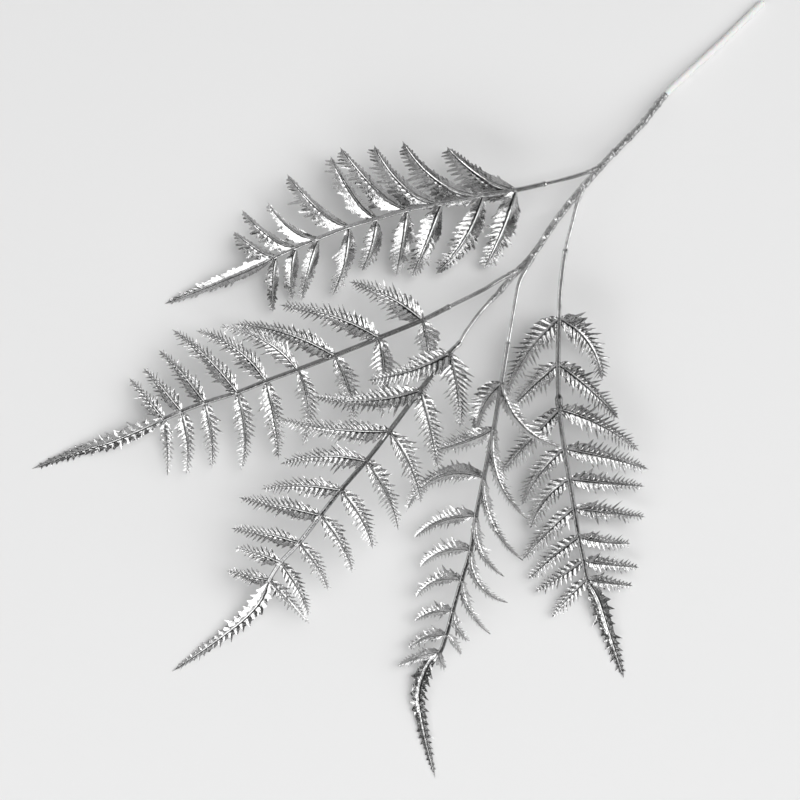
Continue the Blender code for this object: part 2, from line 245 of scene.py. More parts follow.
def dulling_group():
    """A patchy mask from a slow noise, and the colour and roughness that it turns clean metal into."""
    made = new_group(
        "Dulling",
        (("Coordinate", "Vector", None), ("Scale", "Float", 60.0), ("Cover", "Float", 0.5),
         ("Clean", "Color", (0.8, 0.8, 0.8, 1)), ("Dull", "Color", (0.4, 0.4, 0.4, 1)),
         ("Smoothest", "Float", 0.2), ("Roughest", "Float", 0.45)),
        (("Colour", "Color"), ("Roughness", "Float")),
    )
    given = node(made, "NodeGroupInput")
    noise = node(made, "ShaderNodeTexNoise",
                 (("Vector", given.outputs["Coordinate"]), ("Scale", given.outputs["Scale"])),
                 (("Detail", 4.0), ("Roughness", 0.65)))
    mask = node(made, "ShaderNodeMapRange", (("Value", noise.outputs[0]),),
                (("From Min", 0.4), ("From Max", 0.72)), interpolation_type="SMOOTHSTEP")
    cover = node(made, "ShaderNodeMath", ((0, mask.outputs[0]), (1, given.outputs["Cover"])),
                 operation="MULTIPLY")
    colour = node(made, "ShaderNodeMix",
                  ((0, cover.outputs[0]), (6, given.outputs["Clean"]), (7, given.outputs["Dull"])),
                  data_type="RGBA")
    rough = node(made, "ShaderNodeMapRange",
                 (("Value", cover.outputs[0]), ("To Min", given.outputs["Smoothest"]),
                  ("To Max", given.outputs["Roughest"])))
    node(made, "NodeGroupOutput", (("Colour", colour.outputs[2]), ("Roughness", rough.outputs[0])))
    return made


GROUPS = {made.name: made for made in (creases_group(), dulling_group())}
print("shared effects:", ", ".join(GROUPS))

# %% [markdown]
# ## The finishes
#
# Five finishes cover the spray. The moulded leaf has a mirror-like vacuum coating, so what it shows is
# the room: it is a metal with little roughness, broken up by creases. Each leaflet carries its own texture
# coordinate, whose U counts the teeth and whose V is the level from edge to edge. It paints a dark line of
# shade along one side of the rib. A midrib carries one level for all of it, past the leaflets' own, and a
# high one paints the midrib a darker grey, as painted shade. Wire and tape
# have much the same metal. The tail is bare pale plastic, and the core's cut end is steel.

# %% Materials
RIB_SHADE_FADES_IN, RIB_SHADE_FADES_OUT = (0.06, 0.12), (0.2, 0.3)  # levels on both sides of the painted shade line beside the rib
SHADED_STALK_LEVEL = 2.0  # a midrib with a level past this is painted a darker grey, as painted shade
# greys of the painted shade beside a leaflet's rib, and of the painted shade on the midribs
RIB_SHADE_GREY, STALK_SHADE_GREY = 0.06, 0.34


def grey(value):
    """A neutral colour for a shader's socket."""
    return (value, value, value, 1)


def new_material(name):
    """A material with a Principled shader, and its tree, shader and object coordinates."""
    made = bpy.data.materials.new(name)
    made.use_nodes = True
    tree = made.node_tree
    place = node(tree, "ShaderNodeTexCoord").outputs["Object"]
    return made, tree, tree.nodes["Principled BSDF"], place


def use_group(tree, name, links, values):
    """One of the shared effects in a material, with its inputs set."""
    made = tree.nodes.new("ShaderNodeGroup")
    made.node_tree = GROUPS[name]
    for label, value in values:
        made.inputs[label].default_value = value
    for label, source in links:
        tree.links.new(source, made.inputs[label])
    return made


def coated_metal(name, clean, darkened, cover, rough, crease):
    """Coated metal. clean and dull are greys, and cover is the most that the dull patches hide.

    rough is the (least, most) roughness, and crease the creases' (scale, grain, depth in metres).
    """
    made, tree, shader, place = new_material(name)
    dulling = use_group(tree, "Dulling", (("Coordinate", place),),
                        (("Scale", 90.0), ("Cover", cover), ("Clean", grey(clean)), ("Dull", grey(darkened)),
                         ("Smoothest", rough[0]), ("Roughest", rough[1])))
    creases = use_group(tree, "Creases", (("Coordinate", place),),
                        (("Scale", crease[0]), ("Grain", crease[1]), ("Depth", crease[2])))
    shader.inputs["Metallic"].default_value = 1.0
    tree.links.new(dulling.outputs["Colour"], shader.inputs["Base Color"])
    tree.links.new(dulling.outputs["Roughness"], shader.inputs["Roughness"])
    tree.links.new(creases.outputs["Normal"], shader.inputs["Normal"])
    return made, tree, shader, dulling


def leaf_silver():
    """The leaf's coating, with painted shade in a line beside a leaflet's rib and on the darker midribs."""
    made, tree, shader, dulling = coated_metal(
        "leaf_silver", 0.68, 0.4, 0.6, (0.12, 0.34), (260.0, 0.25, 0.00035))
    surface = node(tree, "ShaderNodeUVMap", uv_map="surface")
    parts = node(tree, "ShaderNodeSeparateXYZ", ((0, surface.outputs[0]),))
    level = parts.outputs[1]
    # a band of levels on one side of the rib, painted with shade
    fade_in = node(tree, "ShaderNodeMapRange", (("Value", level),),
                   (("From Min", RIB_SHADE_FADES_IN[0]), ("From Max", RIB_SHADE_FADES_IN[1])),
                   interpolation_type="SMOOTHSTEP")
    fade_out = node(tree, "ShaderNodeMapRange", (("Value", level),),
                    (("From Min", RIB_SHADE_FADES_OUT[1]), ("From Max", RIB_SHADE_FADES_OUT[0])),
                    interpolation_type="SMOOTHSTEP")
    line = node(tree, "ShaderNodeMath", ((0, fade_out.outputs[0]), (1, fade_in.outputs[0])),
                operation="MULTIPLY")
    rib_shaded = node(tree, "ShaderNodeMix", ((0, line.outputs[0]), (6, dulling.outputs["Colour"])),
                 ((7, grey(RIB_SHADE_GREY)),), data_type="RGBA")
    # a midrib past that level is painted a darker grey, as painted shade
    darkened = node(tree, "ShaderNodeMath", ((0, level),), ((1, SHADED_STALK_LEVEL),), operation="GREATER_THAN")
    whole = node(tree, "ShaderNodeMix", ((0, darkened.outputs[0]), (6, rib_shaded.outputs[2])),
                 ((7, grey(STALK_SHADE_GREY)),), data_type="RGBA")
    tree.links.new(whole.outputs[2], shader.inputs["Base Color"])
    return made


def pale_plastic():
    """Soft off-white plastic, a little translucent, with a slow waviness."""
    made, tree, shader, place = new_material("pale_plastic")
    creases = use_group(tree, "Creases", (("Coordinate", place),),
                        (("Scale", 70.0), ("Grain", 0.05), ("Depth", 0.001)))
    tree.links.new(creases.outputs["Normal"], shader.inputs["Normal"])
    shader.inputs["Base Color"].default_value = (0.84, 0.84, 0.83, 1)
    shader.inputs["Roughness"].default_value = 0.35
    shader.inputs["Subsurface Weight"].default_value = 0.25
    shader.inputs["Subsurface Scale"].default_value = 0.002
    return made


LEAF = leaf_silver()
WIRE = coated_metal("coated_wire", 0.85, 0.4, 0.6, (0.14, 0.36), (500.0, 0.3, 0.00012))[0]
TAPE = coated_metal("crinkled_tape", 0.7, 0.28, 0.7, (0.16, 0.4), (420.0, 0.4, 0.0004))[0]
STEEL = coated_metal("cut_steel", 0.3, 0.15, 0.8, (0.35, 0.6), (900.0, 0.5, 0.0001))[0]
PLASTIC = pale_plastic()
print("finishes:", ", ".join(m.name for m in (LEAF, WIRE, TAPE, STEEL, PLASTIC)))

# %% [markdown]
# ## The measured plan
#
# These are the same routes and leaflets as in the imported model, because the fine pieces have to lie where
# its plain ones do. A frond's wire leaves the stem, a moulded sleeve slips over it, nine pairs of leaflets
# grow from the midrib, and one leaflet ends it. Each leaflet is given by its reach, by its angle to the
# midrib over the near and the far half, and by its tip's height. A row's roll turns its leaflets about
# their ribs, from the first pair's to the last one's, and its fold closes their two halves. Only the rolls
# and folds of the first and the fourth frond were set anew here, so that they catch the light as they should.

# %% Routes and leaflets
STEM = (
    (290, 318, 2.7), (253, 282, 4), (214, 246, 8), (192, 219, 11), (160, 186, 16),
    (128, 148, 20), (106, 116, 24), (92, 101, 27), (78, 85, 30),
)
# knuckle is the pair that the moulding's lump comes before.
FRONDS = (
    dict(
        name="frond_1",
        branch=((160, 186, 16), (152, 182, 19), (134, 176, 23)),
        stalk=((114, 171, 26),),
        pairs=(
            (92, 166, 29), (66, 162, 32), (33, 155, 34), (6, 150, 34), (-18, 143, 33),
            (-40, 137, 31), (-64, 128, 27), (-82, 121, 23), (-98, 114, 19),
        ),
        end=((-120, 104, 13), (-140, 96, 8), (-160, 88, 3.5), (-188, 77, 0.35)),
        end_fold=-28,
        right=dict(
            reach=(66, 81, 74, 74, 63, 66, 52, 54, 40),
            near=(37, 35, 44, 55, 68, 56, 48, 53, 53),
            far=(45, 54, 61, 58, 71, 61, 64, 61, 55),
            tips=(24, 26, 26, 26, 24, 22, 20, 17, 14),
            roll=(-3, -5),
            fold=16,
        ),
        left=dict(
            reach=(66, 73, 62, 52, 42, 56, 51, 41, 44),
            near=(63, 57, 58, 69, 64, 65, 51, 57, 59),
            far=(55, 39, 54, 64, 50, 50, 54, 68, 65),
            tips=(8, 10, 10, 10, 10, 9, 8, 8, 7),
            roll=(-4, -6),
            fold=22,
        ),
    ),
    dict(
        name="frond_2",
        branch=((92, 102, 27), (79, 95, 33), (64, 86, 37)),
        stalk=((38, 73, 39),),
        pairs=(
            (18, 63, 42), (-16, 49, 45), (-51, 35, 45), (-80, 24, 43), (-105, 15, 39),
            (-128, 6, 34), (-154, -2, 27), (-173, -9, 22), (-187, -15, 18),
        ),
        end=((-210, -25, 12), (-232, -34, 7), (-260, -42, 3), (-294, -55, 0.35)),
        end_fold=8,
        right=dict(
            reach=(66, 84, 85, 73, 71, 73, 56, 46, 43),
            near=(57, 47, 46, 61, 67, 68, 70, 72, 73),
            far=(42, 33, 31, 36, 44, 57, 63, 67, 71),
            tips=(40, 36, 32, 30, 26, 22, 19, 16, 13),
            roll=(-15, -10),
            fold=-16,
        ),
        left=dict(
            reach=(59, 61, 58, 62, 63, 63, 53, 51, 45),
            near=(77, 75, 91, 85, 81, 81, 82, 79, 72),
            far=(59, 60, 75, 59, 73, 63, 70, 63, 66),
            tips=(18, 17, 17, 17, 15, 12, 11, 9, 8),
            roll=(25, 15),
            fold=10,
        ),
    ),
    dict(
        name="frond_3",
        branch=((78, 85, 30), (64, 70, 40), (52, 54, 50)),
        stalk=((46, 44, 55),),
        pairs=(
            (39, 37, 58), (16, 8, 62), (-8, -24, 63), (-26, -47, 61), (-46, -70, 57),
            (-62, -90, 51), (-79, -112, 42), (-94, -128, 34), (-103, -142, 27),
        ),
        end=((-110, -158, 19), (-124, -174, 12), (-148, -193, 5), (-182, -217, 0.35)),
        end_fold=8,
        right=dict(
            reach=(68, 85, 87, 69, 63, 66, 55, 38, 35),
            near=(28, 42, 55, 56, 56, 65, 65, 73, 68),
            far=(38, 56, 62, 39, 44, 62, 57, 63, 68),
            tips=(60, 58, 56, 52, 48, 42, 34, 28, 22),
            roll=(-10, -10),
            fold=-16,
        ),
        left=dict(
            reach=(59, 65, 63, 61, 54, 53, 45, 49, 47),
            near=(51, 53, 69, 71, 76, 74, 77, 72, 75),
            far=(41, 47, 52, 56, 58, 57, 62, 57, 72),
            tips=(50, 47, 43, 40, 36, 30, 24, 19, 15),
            roll=(20, 15),
            fold=10,
        ),
    ),
    dict(
        name="frond_4",
        branch=((106, 115, 24), (100, 104, 28), (94, 92, 31), (90, 72, 34)),
        stalk=((85, 44, 37),),
        pairs=(
            (80, 14, 39), (74, -22, 39), (66, -61, 37), (60, -91, 34), (56, -118, 30),
            (49, -142, 26), (42, -167, 21), (37, -186, 17), (32, -200, 14),
        ),
        end=((22, -211, 11), (15, -232, 7), (17, -256, 3), (28, -302, 0.35)),
        end_fold=8,
        right=dict(
            reach=(50, 57, 76, 54, 45, 43, 33, 34, 36),
            near=(29, 55, 78, 71, 73, 70, 69, 64, 55),
            far=(0, 65, 29, 47, 41, 31, 46, 37, 47),
            tips=(22, 18, 16, 15, 14, 13, 11, 10, 9),
            roll=(-20, -12),
            fold=26,
        ),
        left=dict(
            reach=(75, 80, 75, 56, 56, 50, 28, 19, 14),
            near=(35, 15, 22, 17, 25, 30, 28, 57, 17),
            far=(71, 47, 52, 53, 70, 58, 62, 52, 67),
            tips=(44, 46, 44, 42, 38, 34, 30, 26, 22),
            roll=(56, 52),
            fold=10,
        ),
    ),
    dict(
        name="frond_5",
        knuckle=3,
        branch=((146, 170, 18), (141, 157, 20), (136, 138, 21)),
        stalk=((131, 118, 22), (127, 88, 24)),
        pairs=(
            (126, 65, 26), (125, 29, 27), (126, -7, 27), (130, -38, 25), (134, -62, 23),
            (138, -85, 20), (142, -108, 16), (146, -127, 13), (149, -142, 11),
        ),
        end=((158, -160, 8), (166, -184, 4), (179, -222, 0.35)),
        end_fold=8,
        right=dict(
            reach=(77, 49, 71, 57, 52, 58, 53, 46, 42),
            near=(41, 49, 48, 52, 58, 57, 62, 66, 56),
            far=(23, 43, 44, 36, 35, 50, 57, 69, 50),
            tips=(14, 13, 12, 11, 10, 9, 8, 7, 6),
            roll=(-15, -10),
            fold=8,
        ),
        left=dict(
            reach=(63, 66, 73, 70, 61, 58, 42, 45, 37),
            near=(52, 52, 65, 70, 74, 72, 67, 69, 68),
            far=(21, 44, 51, 65, 74, 72, 74, 71, 70),
            tips=(16, 15, 14, 13, 11, 9, 8, 7, 6),
            roll=(15, 10),
            fold=10,
        ),
    ),
)
print(len(FRONDS), "fronds of", len(FRONDS[0]["pairs"]), "pairs")

# %% [markdown]
# ## One leaflet
#
# A leaflet is a thin blade with a raised rib, folded along it, and cut into teeth that point to its tip.
# On the real one the mould gives each tooth its own ridge. Here it is one stack of rings: a ring goes
# across the top from edge to edge and back underneath. Its place is told by two numbers. The phase counts
# teeth along the rib, and the level runs from -1 at one edge through 0 on the rib to 1 at the other. The
# blade is sheared forward, so that a ring lies along a side vein and a tooth leans as it does.

# %% The teeth
TOOTH_PHASES = np.array((0, 0.13, 0.18, 0.24, 0.34, 0.5, 0.66, 0.76, 0.82, 0.87))
SPACING_SHARE = 1.3  # the first tooth's spacing over the mean one; the last one's is 2 - this
DROOP = 1.4  # a leaflet's height changes with this power of the way along it
ARCH_AT = 0.22  # where its arch is highest
RIB_POINTS = 97


def tooth_reach(phase, half, power):
    """A tooth's reach at a phase: (1 - distance from its middle / half) ** power, and 0 in the gap."""
    return np.maximum(0, 1 - np.abs(phase - 0.5) / half) ** power


def rib_of_leaflet(base, heading, side, reach, near, far, tip_height, bend, arch):
    """Points of a leaflet's rib, which rises from the midrib and then droops.

    Its heading turns evenly from near to far, less bend degrees that die away by (1 - s) ** 4 and are made
    up for beyond. Its height follows s ** DROOP to the tip's, with an arch of s / a * exp(1 - s / a) on top.
    """
    s = np.linspace(0, 1, RIB_POINTS)
    turn = heading + side * np.radians(near + (far - near) * (2 * s - 0.5) - bend * ((1 - s) ** 4 - 0.2))
    step = reach / (len(s) - 1)
    x = base[0] + step * np.concatenate(([0], np.cumsum(np.cos(turn[:-1]))))
    y = base[1] + step * np.concatenate(([0], np.cumsum(np.sin(turn[:-1]))))
    rise = arch * reach * s / ARCH_AT * np.exp(1 - s / ARCH_AT) * (1 - s)
    z = base[2] + (tip_height - base[2]) * s**DROOP + rise
    return np.column_stack((x, y, z))


print("a tooth's outline by phase:", np.round(tooth_reach(TOOTH_PHASES, 0.33, 0.6), 2))

# %% The blade's surface
TOOTHED = 0.94  # the rest of the length is the bare tip
RIB_HALF = (0.6, 1.2)  # the leaflet's own rib in mm: half its crest's width, and half its foot's
RIB_SHARES = (0.12, 0.28)  # the most that they take of the half that the gaps leave
TOP_LEVELS = np.array((1, 0.9, 0.72, 0.46, 0.2, 0.09, 0, -0.09, -0.2, -0.46, -0.72, -0.9, -1))
UNDER_LEVELS = np.array((-0.86, -0.4, 0, 0.4, 0.86))
KNOTS = (0, 0.09, 0.2, 0.72, 1)  # the levels of the rib's middle, its crest and foot, the gaps and the edge
BLADE = 0.32  # thickness in mm
WIDEST_WEB = 0.92  # the most of the half-width that the gaps leave standing
LEAST_TEETH = 5
LEAST_REACH = 0.12  # mm from the rib to the edge
OUTER_ROOT = (0.2, 0.2)  # as a look's root, for the half that faces the frond's base
TWIST_ALONG = 0.3  # the share of the length along which a leaflet's twist dies away
END_WAVE, END_CLOSE = 0.5, 0.5  # the end leaflet's share of its look's wave, and its close
FIRST_TEETH, FIRST_TEETH_REACH = 0.1, 0.09  # shares of the length
RIDGE_HALF = 0.45  # half a pleat's ridge over the spacing
LEAN_SPREAD, LEAN_LOSS = 4, 10  # degrees, and the teeth lean more by the second at the tip
STRAY = 0.08  # the spread of how far the teeth's ends stray along the rib
NOTCH_SPREAD = 0.12
FULL_WAVE, FULL_THICKNESS = 6, 5  # half-widths in mm from which a leaflet has all of its wave and thickness


def blade(shell, rib, half_width, roll, fold, look, rng, lobe=0.0, acro=0):
    """Adds one leaflet. half_width is in mm at the base, and lobe widens the first teeth by that share.

    fold is in degrees: each half falls away from the rib by it, or rises from the rib where it is below 0.

    acro is the side, 1 for left and -1 for right, that faces the frond's tip, and 0 for the end leaflet,
    whose halves are alike. The half on that side has the look's own teeth, and the other thinner ones.

    With s the share of the rib's length and w(s) the half-width there, the outline is at
    notch * w + (1 - notch) * w * tooth_reach(phase), with small teeth of jag * w * cos(6 pi phase) on it.
    A point at the width v goes v out from the rib and v / tan(lean) forward. Its height is a ridge at the
    rib, less the fold's fall, plus a wave with one crest for each tooth, plus a tilt and a lift that differ
    from tooth to tooth. curl bends the half back up by curl * v ** 2 / w. The fold opens evenly on the way
    to the tip, and a twist about the rib dies away by exp(-(s / TWIST_ALONG) ** 2).
    """
    length = lengths_along(rib)[-1]
    teeth = max(LEAST_TEETH, round(length / look["spacing"]))
    phase = np.tile(TOOTH_PHASES, teeth)
    which = np.repeat(np.arange(teeth), len(TOOTH_PHASES))
    x = (which + phase) / teeth
    s = TOOTHED * x * (SPACING_SHARE + (1 - SPACING_SHARE) * x)
    tail = np.linspace(TOOTHED, 1, 7)
    s = np.concatenate((s, tail))
    phase = np.concatenate((phase, np.zeros(len(tail))))
    which = np.concatenate((which, np.full(len(tail), teeth - 1)))
    middle = at_lengths(rib, s * length)
    roll = roll + np.radians(rng.normal(0, look["sway"][0]) + rng.normal(0, look["sway"][1]) * s)
    roll = roll + math.radians(look["twist"][-acro]) * np.exp(-((s / TWIST_ALONG) ** 2))
    along, left, up = frames_along(middle, roll)

    narrowing = look["taper"][0] * s + look["taper"][1] * s**3
    whole = half_width * (1 - narrowing) * np.clip((1 - s) / (1 - TOOTHED), 0.08, 1)
    web = look["notch"][1] + (look["notch"][0] - look["notch"][1]) * np.exp(-((s / look["web"]) ** 2))
    keel = math.radians(fold) * (1 - (look["close"] if acro else END_CLOSE) * s)
    ridge = tooth_reach(phase, RIDGE_HALF, 1.0)
    rows = {}
    for side in (1, -1):
        inward = side * acro > 0
        share_at_root, root_length = look["root"] if inward else OUTER_ROOT
        full = whole * (share_at_root + (1 - share_at_root) * np.clip(s / root_length, 0, 1) ** 0.7)
        first_teeth = np.exp(-(((s - FIRST_TEETH) / FIRST_TEETH_REACH) ** 2))
        full = full * (1 + side * acro * look["lopsided"][-acro]) * (1 + lobe * first_teeth)
        power = look["tooth_power"] * (1 if inward or not acro else look["hair"])
        size = rng.normal(1, look["uneven"], teeth)[which]
        lean = np.radians(look["lean"] + rng.normal(0, LEAN_SPREAD) - LEAN_LOSS * s)
        stray = rng.normal(0, STRAY, teeth)[which]
        tilt = rng.normal(0, look["stir"], teeth)[which]
        lift = rng.normal(0, look["lift"], teeth)[which]
        wave = look["wave"] * (1 if inward else look["calm"] if acro else END_WAVE)
        notch = full * np.minimum(web * (1 if inward else look["fringe"]), WIDEST_WEB)
        notch = notch * (1 + NOTCH_SPREAD * rng.normal(0, 1, teeth)[which] * ridge)
        point = tooth_reach(phase, look["tooth_half"], power)
        edge = notch + (full * size - notch).clip(0) * point
        edge = np.maximum(edge + look["jag"] * full * np.cos(6 * np.pi * phase) * point, LEAST_REACH)
        inner = np.minimum(notch, 0.8 * edge)
        for level in np.unique(np.abs(np.concatenate((TOP_LEVELS, UNDER_LEVELS)))):
            crest = np.minimum(RIB_HALF[0], RIB_SHARES[0] * inner)
            foot = np.minimum(RIB_HALF[1], RIB_SHARES[1] * inner)
            below = max(i for i in range(len(KNOTS) - 1) if level >= KNOTS[i])
            part = (level - KNOTS[below]) / (KNOTS[below + 1] - KNOTS[below])
            stops = (0 * edge, crest, foot, inner, edge)
            out = stops[below] * (1 - part) + stops[below + 1] * part
            beyond = (out - inner).clip(0)
            forward = out / np.tan(lean) + stray * beyond
            height = -out * np.sin(keel) + look["curl"] * out**2 / np.maximum(full, 1)
            pleated = min(max((level - KNOTS[2]) / 0.2, 0), 1)
            share = pleated * (1 - 0.75 * max(0, (level - KNOTS[3]) / 0.28))
            height += wave * (ridge - 0.5) * share * np.clip(full / FULL_WAVE, 0, 1)
            height += beyond * (tilt * (phase - 0.5) * 2 + lift)
            height += look["rise"] * (1 - 0.5 * s) * {KNOTS[0]: 1.0, KNOTS[1]: 0.72}.get(level, 0.0)
            rows[side, level] = (
                middle + along * forward[:, None] + left * (side * out * np.cos(keel))[:, None]
                + up * height[:, None]
            )
    top = [rows[1 if level >= 0 else -1, abs(level)] for level in TOP_LEVELS]
    thick = up * (BLADE * (0.5 + 0.5 * np.clip(whole / FULL_THICKNESS, 0, 1)))[:, None]
    under = []
    for level in UNDER_LEVELS:
        drop = thick * (1 if abs(level) > 0.5 else 1.3)
        under.append(rows[1 if level >= 0 else -1, abs(level)] - drop)
    rings = np.stack(top + under, axis=1)
    levels = np.concatenate((TOP_LEVELS, UNDER_LEVELS)) * (acro or 1)
    uv = np.stack(np.broadcast_arrays((which + phase)[:, None], levels[None, :]), axis=-1)
    shell.add(rings, uv)


# %% [markdown]
# ## One frond
#
# The midrib and its sleeve are one tube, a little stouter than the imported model's: wide where it slips over
# the wire, then thinning to the last pair, with a slight swelling at each pair and a furrow along its top,
# as on a living fern. The leaflets start on the tube's middle line, so that their roots are hidden in it.

# %% The midrib and its leaflets
SLEEVE_RADIUS, SLEEVE_LENGTH, SLEEVE_LEAD = 2.1, 9, 2
RIB_RADII = (2.0, 1.8)  # at the first and the last pair
RIB_SIDES, RIB_STEP = 18, 0.9
PAIR_WIDTHS = (13, 12, 11.5, 11, 10.5, 10, 9, 8.5, 8)  # half a leaflet's width at its root
END_WIDTH = 9
FINE = 12  # points in each span of a route
SWELLING, SWELLING_REACH = 0.12, 1.6  # a share of the radius, and mm
LIP, LIP_PLACE, LIP_REACH = 0.35, 2, 1.2  # the sleeve's rim in mm
KNUCKLE, KNUCKLE_BACK, KNUCKLE_REACH = 1.3, 5.8, 4.2  # the lump before some pairs in mm
FURROW, FURROW_REACH = 0.16, 0.32  # a share of the radius, and radians
BARE_LEVEL = 1.5  # past a leaflet's edge and short of the painted shade level, for the clean silver of the stalk


def midrib(shell, way, plan, level):
    """Adds the sleeve and midrib: a tube with a lip, a swelling at each pair, and a furrow along its top.

    A swelling of the height h and the reach r adds h * exp(-(d / r) ** 2) at the distance d from its
    middle. level is the texture level of the stretch that bears leaflets.
    """
    along = lengths_along(way)
    joint = along[FINE * len(plan["branch"])]
    first = along[FINE * len(plan["branch"] + plan["stalk"])]
    last = along[-FINE * len(plan["end"]) - 1]
    stops = np.arange(joint - SLEEVE_LEAD, last + 2, RIB_STEP)
    path = at_lengths(way, stops)
    start = stops[0]
    radius = np.interp(stops, (start, start + SLEEVE_LENGTH, first, last),
                       (SLEEVE_RADIUS, SLEEVE_RADIUS, *RIB_RADII))
    nodes = along[FINE * len(plan["branch"] + plan["stalk"]) :: FINE][: len(plan["pairs"])]
    swell = np.exp(-(((stops[:, None] - nodes[None]) / SWELLING_REACH) ** 2)).sum(axis=1)
    rounded_mouth = 1 - 0.25 * np.exp(-(((stops - start) / 0.5) ** 2))
    radius = radius * (1 + SWELLING * swell) * rounded_mouth
    radius += LIP * np.exp(-(((stops - start - LIP_PLACE) / LIP_REACH) ** 2))
    if "knuckle" in plan:
        place = nodes[plan["knuckle"] - 1] - KNUCKLE_BACK
        waist = 0.35 * np.exp(-((stops - place) ** 2))
        radius += KNUCKLE * np.exp(-(((stops - place) / KNUCKLE_REACH) ** 4)) - waist
    turn = np.linspace(0, 2 * np.pi, RIB_SIDES, endpoint=False)
    furrow = 1 - FURROW * np.exp(-(((turn - np.pi / 2) / FURROW_REACH) ** 2))
    rings, uv = tube_rings(path, radius[:, None] * furrow[None], RIB_SIDES)
    uv[..., 1] = np.where(stops < first, BARE_LEVEL, level)[:, None]
    shell.add(rings, uv)


def frond(plan, look, seed):
    """Makes one frond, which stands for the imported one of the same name. seed sets its random draws."""
    rng = np.random.default_rng(seed)
    shell = Shell(plan["name"] + "_leaf")
    way = smooth(plan["branch"] + plan["stalk"] + plan["pairs"] + plan["end"], FINE)
    midrib(shell, way, plan, look["stalk"])
    pairs = np.asarray(plan["pairs"], float)
    ahead = np.gradient(pairs, axis=0)
    headings = np.arctan2(ahead[:, 1], ahead[:, 0])
    for side, row in ((-1, plan["right"]), (1, plan["left"])):
        rolls = np.radians(np.linspace(*row["roll"], len(pairs)))
        for i, base in enumerate(pairs):
            rib = rib_of_leaflet(base, headings[i], side, row["reach"][i], row["near"][i], row["far"][i],
                                 row["tips"][i], look["bend"][side], look["arch"])
            width = PAIR_WIDTHS[i] * (1 - look["dwindle"] * i / len(pairs))
            blade(shell, rib, width, rolls[i], row["fold"], look, rng,
                  look["lobe"] if i == 0 else 0, -side)
    blade(shell, way[-FINE * len(plan["end"]) - 1 :], END_WIDTH * look["end"], 0, plan["end_fold"],
          dict(look, **look["tip"]), rng)
    shell.finish(LEAF, 40, plan["name"])


print("a midrib goes from", RIB_RADII[0], "to", RIB_RADII[1], "mm in radius")

# %% [markdown]
# ## The looks of the fronds
#
# All five fronds come out of moulds of one kind, but they were pressed, stretched and handled differently.
# So one leaflet serves them all, and a look says what differs: how its teeth are cut, how it is pleated and
# how it twists. The first look below is the base, and the others name only what they change. A pair of
# numbers or of rows is given where the two ends of a leaflet, or the two sides of a frond, differ.

# %% Four looks, and the five fronds
FINGERED = dict(
    spacing=4.1,  # mm from tooth to tooth
    lean=60,  # degrees between a tooth and the rib
    tooth_half=0.3,  # half a tooth's width over the spacing
    tooth_power=0.65,  # a tooth is blunt below 1 and needle-like above it
    hair=1.2,  # times that on the half that faces the frond's base
    jag=0.0,  # small teeth on each tooth, as a share of the half-width
    uneven=0.18,  # the spread of the teeth's reach
    stir=0.2,  # the spread of the slopes across them
    lift=0.08,  # the spread of the slopes along them
    notch=(0.85, 0.36),  # what the gaps leave of the half-width, at the root and further on
    web=0.32,  # the share of the length along which the first fades into the second
    fringe=1.0,  # times the notch on the half that faces the frond's base
    wave=1.2,  # mm from a pleat's top to its valley
    calm=1.0,  # times that on the half that faces the frond's base
    rise=1.1,  # mm that the leaflet's own rib stands up
    curl=0.0,  # how far the edges turn back up
    close=0.6,  # the share of the fold that is gone at the tip
    arch=0.05,  # the leaflet's arch over its reach
    lobe=0.3,  # how much wider the first pair's first teeth are
    bend={-1: 0, 1: 0},  # degrees by which a row's leaflets start closer to the midrib
    twist={-1: 0, 0: 0, 1: 0},  # degrees at the root, for the right row, the end leaflet and the left row
    sway=(6, 10),  # the spread of the roll in degrees, for a whole leaflet and more towards its tip
    lopsided={-1: 0.08, 0: 0, 1: 0.08},  # the share that the half facing the frond's tip is wider by
    root=(0.4, 0.2),  # the share of the width at the root, and the share of the length to the full width
    taper=(0.2, 0.64),  # the shares of the width that are lost evenly, and with the cube of the way along
    dwindle=0,  # the share of their width that the pairs lose along the frond
    stalk=3.0,  # the midrib's texture level: past 2 it is painted the darker shade grey
    end=1.0,  # times the end leaflet's width
    tip=dict(spacing=6, notch=(0.75, 0.5), web=0.7, wave=0.4, tooth_power=1.0),  # for the end leaflet alone
)
VALLEYED = dict(
    FINGERED, notch=(0.8, 0.3), web=0.5, wave=1.1, taper=(0.35, 0.5), tip=dict(FINGERED["tip"], wave=0.9),
)
LOBED = dict(
    FINGERED, spacing=4.4, tooth_half=0.46, tooth_power=0.5, hair=1.6, jag=0.1, uneven=0.2, stir=0.12,
    lift=0.05, notch=(0.88, 0.42), web=0.5, fringe=1.3, wave=0.14, calm=0.5, curl=0.05, close=1.0,
    bend={-1: 30, 1: 0}, twist={-1: -13, 0: 0, 1: -28}, sway=(3, 4), lopsided={-1: 0.5, 0: 0, 1: 0.1},
    root=(0.15, 0.25), taper=(0.2, 0.62), dwindle=0.3, stalk=1.5, end=0.75,
    tip=dict(spacing=5, notch=(0.7, 0.45), web=0.8, tooth_half=0.4, tooth_power=0.8),
)
SMOOTHER = dict(
    FINGERED, spacing=3.5, tooth_power=0.9, notch=(0.85, 0.5), wave=0.2, close=0.15, sway=(2, 3),
    root=(0.2, 0.2), taper=(0.4, 0.5),
)
LOOKS = (LOBED, VALLEYED, VALLEYED, SMOOTHER, FINGERED)
for seed, (plan, look) in enumerate(zip(FRONDS, LOOKS), 1):
    frond(plan, look, seed)

# %% [markdown]
# ## The branch wires
#
# A florist's wire is steel with a thin silvered coat. It isn't perfectly even, because the coat is dipped,
# so its radius wanders a little along the way. It starts inside the taped root of its branch and ends
# inside the frond's sleeve, where neither end shows.

